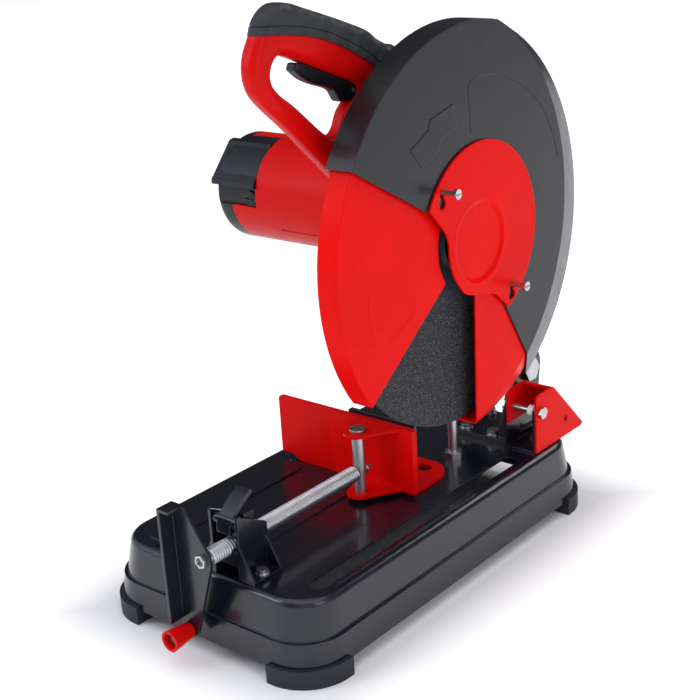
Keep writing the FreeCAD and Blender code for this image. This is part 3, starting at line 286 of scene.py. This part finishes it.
def mesh_object(name, verts, faces, smooth=True):
    mesh = bpy.data.meshes.new(name)
    mesh.from_pydata([tuple(v) for v in verts], [], faces)
    mesh.update()
    if smooth:
        mesh.shade_smooth()
    obj = bpy.data.objects.new(name, mesh)
    bpy.context.scene.collection.objects.link(obj)
    return obj


def catmull(p0, p1, p2, p3, steps):
    """Points of the Catmull-Rom span from p1 up to p2."""
    for k in range(steps):
        t = k / steps
        square = (2 * p0 - 5 * p1 + 4 * p2 - p3) * t * t
        cube = (3 * p1 - p0 - 3 * p2 + p3) * t ** 3
        yield p1 + 0.5 * ((p2 - p0) * t + square + cube)


def smooth_loop(points, steps=8):
    """A closed Catmull-Rom curve through the points."""
    p = np.array(points, float)
    n = len(p)
    made = []
    for i in range(n):
        made += catmull(p[i - 1], p[i], p[(i + 1) % n], p[(i + 2) % n], steps)
    return np.array(made)


def evaluated_mesh(obj):
    return bpy.data.meshes.new_from_object(obj.evaluated_get(bpy.context.evaluated_depsgraph_get()))


def slab(name, loops, low_x, high_x, bevel, resolution=5, shrink=0.0):
    """A plate with YZ outlines in millimetres about the base's centre, its edges well rounded."""
    curve = bpy.data.curves.new(name + "_outline", "CURVE")
    curve.dimensions = "2D"
    curve.fill_mode = "BOTH"
    for loop in loops:
        spline = curve.splines.new("POLY")
        spline.points.add(len(loop) - 1)
        for point, (u, v) in zip(spline.points, loop):
            point.co = (u * MM + BASE_Y, v * MM, 0, 1)
        spline.use_cyclic_u = True
    curve.extrude = max(0.0, (high_x - low_x) / 2 - bevel) * MM
    curve.bevel_depth = bevel * MM
    curve.bevel_resolution = resolution
    curve.offset = -(bevel + shrink) * MM
    temp = bpy.data.objects.new(name + "_curve", curve)
    bpy.context.scene.collection.objects.link(temp)
    bpy.context.view_layer.update()
    mesh = evaluated_mesh(temp)
    bpy.data.objects.remove(temp)
    turn = Matrix(((0, 0, 1, (low_x + high_x) / 2 * MM), (1, 0, 0, 0), (0, 1, 0, 0), (0, 0, 0, 1)))
    mesh.transform(turn)
    mesh.name = name
    obj = bpy.data.objects.new(name, mesh)
    bpy.context.scene.collection.objects.link(obj)
    weld(obj)
    return obj


def weld(obj, distance=0.00002):
    work = bmesh.new()
    work.from_mesh(obj.data)
    bmesh.ops.remove_doubles(work, verts=work.verts, dist=distance)
    bmesh.ops.recalc_face_normals(work, faces=work.faces)
    work.to_mesh(obj.data)
    work.free()
    obj.data.shade_smooth()


def boolean(obj, other, operation):
    modifier = obj.modifiers.new("cut", "BOOLEAN")
    modifier.operation = operation
    modifier.object = other
    modifier.solver = "EXACT"
    bpy.context.view_layer.update()
    mesh = evaluated_mesh(obj)
    obj.modifiers.clear()
    old = obj.data
    obj.data = mesh
    bpy.data.meshes.remove(old)
    return obj


def prism(name, loop, low_x, high_x):
    """A plain straight-sided solid, used as a cutter."""
    n = len(loop)
    verts = [(x * MM, u * MM + BASE_Y, v * MM) for x in (low_x, high_x) for u, v in loop]
    faces = [tuple(range(n))[::-1], tuple(range(n, 2 * n))]
    faces += [(i, (i + 1) % n, n + (i + 1) % n, n + i) for i in range(n)]
    obj = mesh_object(name, verts, faces, False)
    weld(obj)
    return obj


def auto_smooth(obj, degrees=35):
    obj.data.shade_smooth()
    modifier = obj.modifiers.new("split", "EDGE_SPLIT")
    modifier.split_angle = math.radians(degrees)
    return obj


# ------------------------------------------------------------ handle
HANDLE_OUT = [
    (-162, 537), (-168, 527), (-171.5, 516), (-171.5, 504), (-167, 492), (-156, 480), (-132, 459), (-98, 427),
    (-62, 395), (-20, 376), (14, 386), (28, 410), (28, 452), (13, 503), (-2, 511), (-16, 518), (-30, 527),
    (-68, 541), (-104, 553), (-121, 558.5), (-138, 560.5), (-149, 556), (-157, 548),
]
HANDLE_IN = [
    (-140, 519.5), (-124, 516), (-97, 504.5), (-74, 495), (-55, 486.5), (-48, 477), (-62, 463), (-70, 449.5),
    (-80, 445.5), (-93, 451.5), (-124, 477.5), (-141, 490), (-150, 501), (-149, 512),
]
GRIP_LINE = [
    (-190, 537), (-165, 538), (-150, 537.6), (-130, 535.2), (-112, 532.2), (-95, 528), (-76, 521.5),
    (-58, 513.5), (-33, 500.5), (-16, 488), (3, 494), (8, 520),
]


def band(lower, upper):
    """The strip between the grip's lower line raised by lower and by upper."""
    under = [(u, v + lower) for u, v in GRIP_LINE[:-2]]
    over = [(u, v + upper) for u, v in GRIP_LINE[:-2]]
    return under + over[::-1]


low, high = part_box("handle_frame")
left, right = low.x / MM, high.x / MM
outline = smooth_loop(HANDLE_OUT)
window = smooth_loop(HANDLE_IN)
handle = slab("handle_shell", [outline, window], left, right, 8.0, 7)
grip = slab("grip_sleeve", [outline], left - 1.4, right + 1.4, 9.6, 8)
core = slab("core", [outline], left - 0.6, right + 0.6, 9.6, 8, 0.8)
keep = GRIP_LINE + [(0, 590), (-200, 590)]
cutter = prism("cutter", keep, left - 20, right + 20)
boolean(grip, cutter, "INTERSECT")
boolean(handle, cutter, "DIFFERENCE")
seam = prism("seam", band(6.4, 7.4), left - 20, right + 20)
boolean(seam, core, "DIFFERENCE")
boolean(grip, seam, "DIFFERENCE")
for used in (cutter, core, seam):
    bpy.data.objects.remove(used)
link(auto_smooth(handle, 40), "red_plastic", "head", "red_plastic", "handle_frame")
link(auto_smooth(grip, 40), "grip_rubber", "head", "grip_rubber", "handle_grip")

TRIGGER = [
    (-120.6, 505.4), (-120, 508.5), (-118, 511.2), (-111, 510), (-97, 505), (-76, 496.2), (-62, 490),
    (-52, 487), (-47.5, 485.5), (-45, 480), (-44.6, 476), (-48, 472), (-53, 470.6), (-60, 470.8),
    (-66.5, 472), (-70, 477), (-74, 482), (-82, 485.8), (-93, 489.4), (-104, 494), (-112, 498.4),
]
low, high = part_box("trigger")
trigger = slab("trigger_lever", [smooth_loop(TRIGGER, 6)], low.x / MM, high.x / MM, 2.4, 4)
link(auto_smooth(trigger, 40), "black_plastic", "trigger", "black_plastic", "trigger")


# ------------------------------------------------------------ pressed lines on the guards
def ridge(name, points, x, radius, body, material):
    """A raised pressed line through (y, z) points in metres, lying on the face at x."""
    curve = bpy.data.curves.new(name + "_line", "CURVE")
    curve.dimensions = "3D"
    curve.bevel_depth = radius
    curve.bevel_resolution = 3
    spline = curve.splines.new("POLY")
    spline.points.add(len(points) - 1)
    for point, (y, z) in zip(spline.points, points):
        point.co = (x, y, z, 1)
    temp = bpy.data.objects.new(name + "_curve", curve)
    bpy.context.scene.collection.objects.link(temp)
    bpy.context.view_layer.update()
    mesh = evaluated_mesh(temp)
    bpy.data.objects.remove(temp)
    mesh.name = name
    mesh.shade_smooth()
    obj = bpy.data.objects.new(name, mesh)
    bpy.context.scene.collection.objects.link(obj)
    return link(obj, material, body, material)


def open_curve(points, steps=6):
    """A Catmull-Rom curve through the points, open at its ends."""
    p = np.array([points[0]] + list(points) + [points[-1]], float)
    made = []
    for i in range(1, len(p) - 2):
        made += catmull(*p[i - 1:i + 3], steps)
    made.append(p[-2])
    return made


low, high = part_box("abrasive_wheel")
HUB_Y = (low.y + high.y) / 2
HUB_Z = (low.z + high.z) / 2


def about_hub(points):
    return [(HUB_Y + u * MM, HUB_Z + v * MM) for u, v in points]


low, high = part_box("upper_guard")
guard_x = high.x - 0.0006
panel = open_curve([
    (-4, 98), (-5, 120), (-6, 140), (8, 145.5), (30, 144), (63, 134), (92, 119), (114, 100), (130, 76),
    (142, 48),
])
ridge("guard_panel_line", about_hub(panel), guard_x - 0.0002, 0.0006, "head", "guard_paint")
low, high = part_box("front_guard")
ridge("front_line_left", about_hub(open_curve([(-151, -13), (-151.5, -26), (-150, -38), (-144, -60)])),
      high.x - 0.0002, 0.0005, "front_guard", "red_paint")
ridge("front_line_right", about_hub([(-91, -28), (-90.5, -45), (-126, -62)]),
      high.x - 0.0002, 0.0005, "front_guard", "red_paint")

# ------------------------------------------------------------ vice screw
low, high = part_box("vice_screw")
axis_x = (low.x + high.x) / 2
axis_z = (low.z + high.z) / 2
crest = (high.x - low.x) / 2
PITCH = 3 * MM
THREAD_DEPTH = 1.1 * MM
ROW_STEP = 0.375 * MM
AROUND = 40
RUN_OUT = 2 * MM
start = low.y + 9 * MM
stop = high.y - 20.5 * MM
rows = int((stop - start) / ROW_STEP)
verts = []
for i in range(rows + 1):
    y = start + (stop - start) * i / rows
    for j in range(AROUND):
        angle = 2 * math.pi * j / AROUND
        phase = ((y / PITCH) + j / AROUND) % 1.0
        wave = 0.5 - 0.5 * math.cos(2 * math.pi * phase)
        fade = min(1.0, (y - start) / RUN_OUT, (stop - y) / RUN_OUT)
        radius = crest - (1.0 - wave * max(0.0, fade)) * THREAD_DEPTH
        verts.append((axis_x + radius * math.cos(angle), y, axis_z + radius * math.sin(angle)))
faces = []
for i in range(rows):
    for j in range(AROUND):
        a = i * AROUND + j
        b = i * AROUND + (j + 1) % AROUND
        faces.append((a, b, b + AROUND, a + AROUND))
faces.append(tuple(range(AROUND))[::-1])
faces.append(tuple(rows * AROUND + j for j in range(AROUND)))


def turned(profile, centre, segments=40):
    """A turned solid about an axis along Y: profile of (y, radius) in metres."""
    made_verts = []
    made_faces = []
    for y, radius in profile:
        for j in range(segments):
            angle = 2 * math.pi * j / segments
            made_verts.append((centre[0] + radius * math.cos(angle), y, centre[1] + radius * math.sin(angle)))
    for i in range(len(profile) - 1):
        for j in range(segments):
            a = i * segments + j
            b = i * segments + (j + 1) % segments
            made_faces.append((a, b, b + segments, a + segments))
    made_faces.append(tuple(range(segments))[::-1])
    made_faces.append(tuple((len(profile) - 1) * segments + j for j in range(segments)))
    return made_verts, made_faces


def merge(parts):
    verts_all, faces_all = [], []
    for part_verts, part_faces in parts:
        offset = len(verts_all)
        verts_all += part_verts
        faces_all += [tuple(i + offset for i in face) for face in part_faces]
    return verts_all, faces_all


front = low.y
collar = [
    (front, 0.0036), (front + 0.0004, 0.004), (front + 0.004, 0.004), (front + 0.0042, 0.0064),
    (front + 0.0046, 0.0068), (front + 0.0086, 0.0068), (front + 0.009, 0.0066),
    (start + 0.0002, crest - 0.0013),
]
tail = [
    (stop, crest - 0.0013), (stop + 0.001, crest - 0.0016), (stop + 0.001, 0.0035),
    (high.y - 0.0005, 0.0035), (high.y, 0.003),
]
centre = (axis_x, axis_z)
parts = merge([(verts, faces), turned(collar, centre), turned(tail, centre)])
screw = mesh_object("threaded_screw", *parts)
weld(screw, 0.000001)
link(auto_smooth(screw, 70), "zinc_steel", "screw", "zinc_steel", "vice_screw")


# ------------------------------------------------------------ stage, light and camera
def plane(name, size, z, material):
    s = size / 2
    obj = mesh_object(name, [(-s, -s, z), (s, -s, z), (s, s, z), (-s, s, z)], [(0, 1, 2, 3)], False)
    obj.data.materials.append(material)
    return obj


floor_tree = Tree("studio_floor")
floor_tree.set("Base Color", floor_tree.mix(floor_tree.noise(3.0), rgb(240, 240, 240), rgb(246, 246, 246)))
floor_tree.set("Roughness", 0.8)
floor_tree.set("Specular IOR Level", 0.2)
# The floor is a light panel whose glow fades out under the base and a few centimetres round it: a painted
# shadow around the base.
split = floor_tree.node("ShaderNodeSeparateXYZ")
floor_tree.plug(floor_tree.coord, split.inputs[0])
tray_size = tray_high - tray_low
base_x = (tray_low.x + tray_high.x) / 2
reach_x = floor_tree.math("ABSOLUTE", floor_tree.math("SUBTRACT", split.outputs[0], base_x))
reach_y = floor_tree.math("ABSOLUTE", floor_tree.math("SUBTRACT", split.outputs[1], BASE_Y))
outside = floor_tree.math("MAXIMUM", floor_tree.math("SUBTRACT", reach_x, tray_size.x / 2),
                          floor_tree.math("SUBTRACT", reach_y, tray_size.y / 2))
floor_tree.set("Emission Color", (1.0, 1.0, 1.0, 1.0))
# Painted shadow: no glow within 1 cm of the base footprint, full glow from 8 cm out.
floor_tree.set("Emission Strength", floor_tree.ramp(outside, 0.01, 0.08, 0.0, 0.45))
plane("studio_floor", 14.0, 0.0, floor_tree.material)

# A pale dome closes the studio behind the floor. Only the camera sees it, so the lights pass through.
dome_tree = Tree("studio_dome")
dome_tree.set("Base Color", rgb(0, 0, 0))
dome_tree.set("Specular IOR Level", 0.0)
dome_tree.set("Emission Color", dome_tree.mix(dome_tree.noise(0.2), rgb(250, 250, 250), rgb(255, 255, 255)))
dome_tree.set("Emission Strength", 1.0)
dome_mesh = bpy.data.meshes.new("studio_dome")
dome_work = bmesh.new()
bmesh.ops.create_uvsphere(dome_work, u_segments=64, v_segments=32, radius=6.5)
dome_work.to_mesh(dome_mesh)
dome_work.free()
dome_mesh.shade_smooth()
dome_mesh.materials.append(dome_tree.material)
dome = bpy.data.objects.new("studio_dome", dome_mesh)
bpy.context.scene.collection.objects.link(dome)
dome.visible_diffuse = False
dome.visible_glossy = False
dome.visible_transmission = False
dome.visible_shadow = False

world = bpy.data.worlds.new("studio")
bpy.context.scene.world = world
bpy.context.scene.view_settings.view_transform = "Standard"
world.use_nodes = True
background = world.node_tree.nodes["Background"]
sky = world.node_tree.nodes.new("ShaderNodeTexCoord").outputs["Generated"]


def lobe(direction, start, end, colour):
    """A soft bright patch of the studio about one direction."""
    dot = world.node_tree.nodes.new("ShaderNodeVectorMath")
    dot.operation = "DOT_PRODUCT"
    dot.inputs[1].default_value = Vector(direction).normalized()
    world.node_tree.links.new(sky, dot.inputs[0])
    level = world.node_tree.nodes.new("ShaderNodeMapRange")
    level.interpolation_type = "SMOOTHSTEP"
    level.inputs["From Min"].default_value = start
    level.inputs["From Max"].default_value = end
    world.node_tree.links.new(dot.outputs["Value"], level.inputs["Value"])
    scaled = world.node_tree.nodes.new("ShaderNodeVectorMath")
    scaled.operation = "SCALE"
    scaled.inputs[0].default_value = colour
    world.node_tree.links.new(level.outputs["Result"], scaled.inputs["Scale"])
    return scaled.outputs["Vector"]


def total(a, b):
    added = world.node_tree.nodes.new("ShaderNodeVectorMath")
    added.operation = "ADD"
    for value, socket in ((a, added.inputs[0]), (b, added.inputs[1])):
        if isinstance(value, tuple):
            socket.default_value = value
        else:
            world.node_tree.links.new(value, socket)
    return added.outputs["Vector"]


right_side = lobe((0.9, -0.3, 0.3), 0.25, 0.9, (0.55, 0.58, 0.66))
left_side = lobe((-0.75, -0.6, 0.2), 0.55, 0.95, (0.85, 0.95, 1.15))
studio = total(total(right_side, left_side), (0.07, 0.07, 0.075))
world.node_tree.links.new(studio, background.inputs["Color"])
background.inputs["Strength"].default_value = 1.0


def aim(obj, location, target):
    bpy.context.scene.collection.objects.link(obj)
    obj.location = location
    obj.rotation_mode = "QUATERNION"
    obj.rotation_quaternion = (Vector(target) - Vector(location)).to_track_quat("-Z", "Y")


def area(name, location, target, size, power):
    lamp = bpy.data.lights.new(name, "AREA")
    lamp.shape = "RECTANGLE"
    lamp.size, lamp.size_y = size
    lamp.energy = power
    aim(bpy.data.objects.new(name, lamp), location, target)


area("key", (-1.3, -1.7, 1.5), (0, 0, 0.3), (0.5, 1.3), 9.0)
area("side", (1.9, -0.5, 1.1), (0.05, 0, 0.3), (0.8, 1.4), 6.0)
area("back", (0.5, 1.9, 1.5), (0, 0, 0.35), (1.2, 0.7), 9.0)
overhead = bpy.data.lights.new("overhead", "SUN")
overhead.energy = 1.3
overhead.angle = math.radians(70)
aim(bpy.data.objects.new("overhead", overhead), (-0.1, -0.3, 3.0), (0, 0, 0))

CAMERA_AT = Vector((0.8012, BASE_Y - 0.9318, 0.6661))
CAMERA_YAW = math.radians(40.71)
CAMERA_PITCH = math.radians(20.09)
CAMERA_ROLL = math.radians(-3.43)
camera_data = bpy.data.cameras.new("camera")
camera_data.sensor_width = 36.0
camera_data.lens = 69.65
camera_data.clip_end = 50.0
camera = bpy.data.objects.new("camera", camera_data)
bpy.context.scene.collection.objects.link(camera)
level = math.cos(CAMERA_PITCH)
back = Vector((math.sin(CAMERA_YAW) * level, -math.cos(CAMERA_YAW) * level, math.sin(CAMERA_PITCH)))
across = (-back).cross(Vector((0, 0, 1))).normalized()
upward = across.cross(-back)
side_axis = across * math.cos(CAMERA_ROLL) + upward * math.sin(CAMERA_ROLL)
up_axis = -across * math.sin(CAMERA_ROLL) + upward * math.cos(CAMERA_ROLL)
camera.matrix_world = Matrix((
    (side_axis.x, up_axis.x, back.x, CAMERA_AT.x),
    (side_axis.y, up_axis.y, back.y, CAMERA_AT.y),
    (side_axis.z, up_axis.z, back.z, CAMERA_AT.z),
    (0, 0, 0, 1)))
bpy.context.scene.camera = camera

bpy.context.view_layer.update()
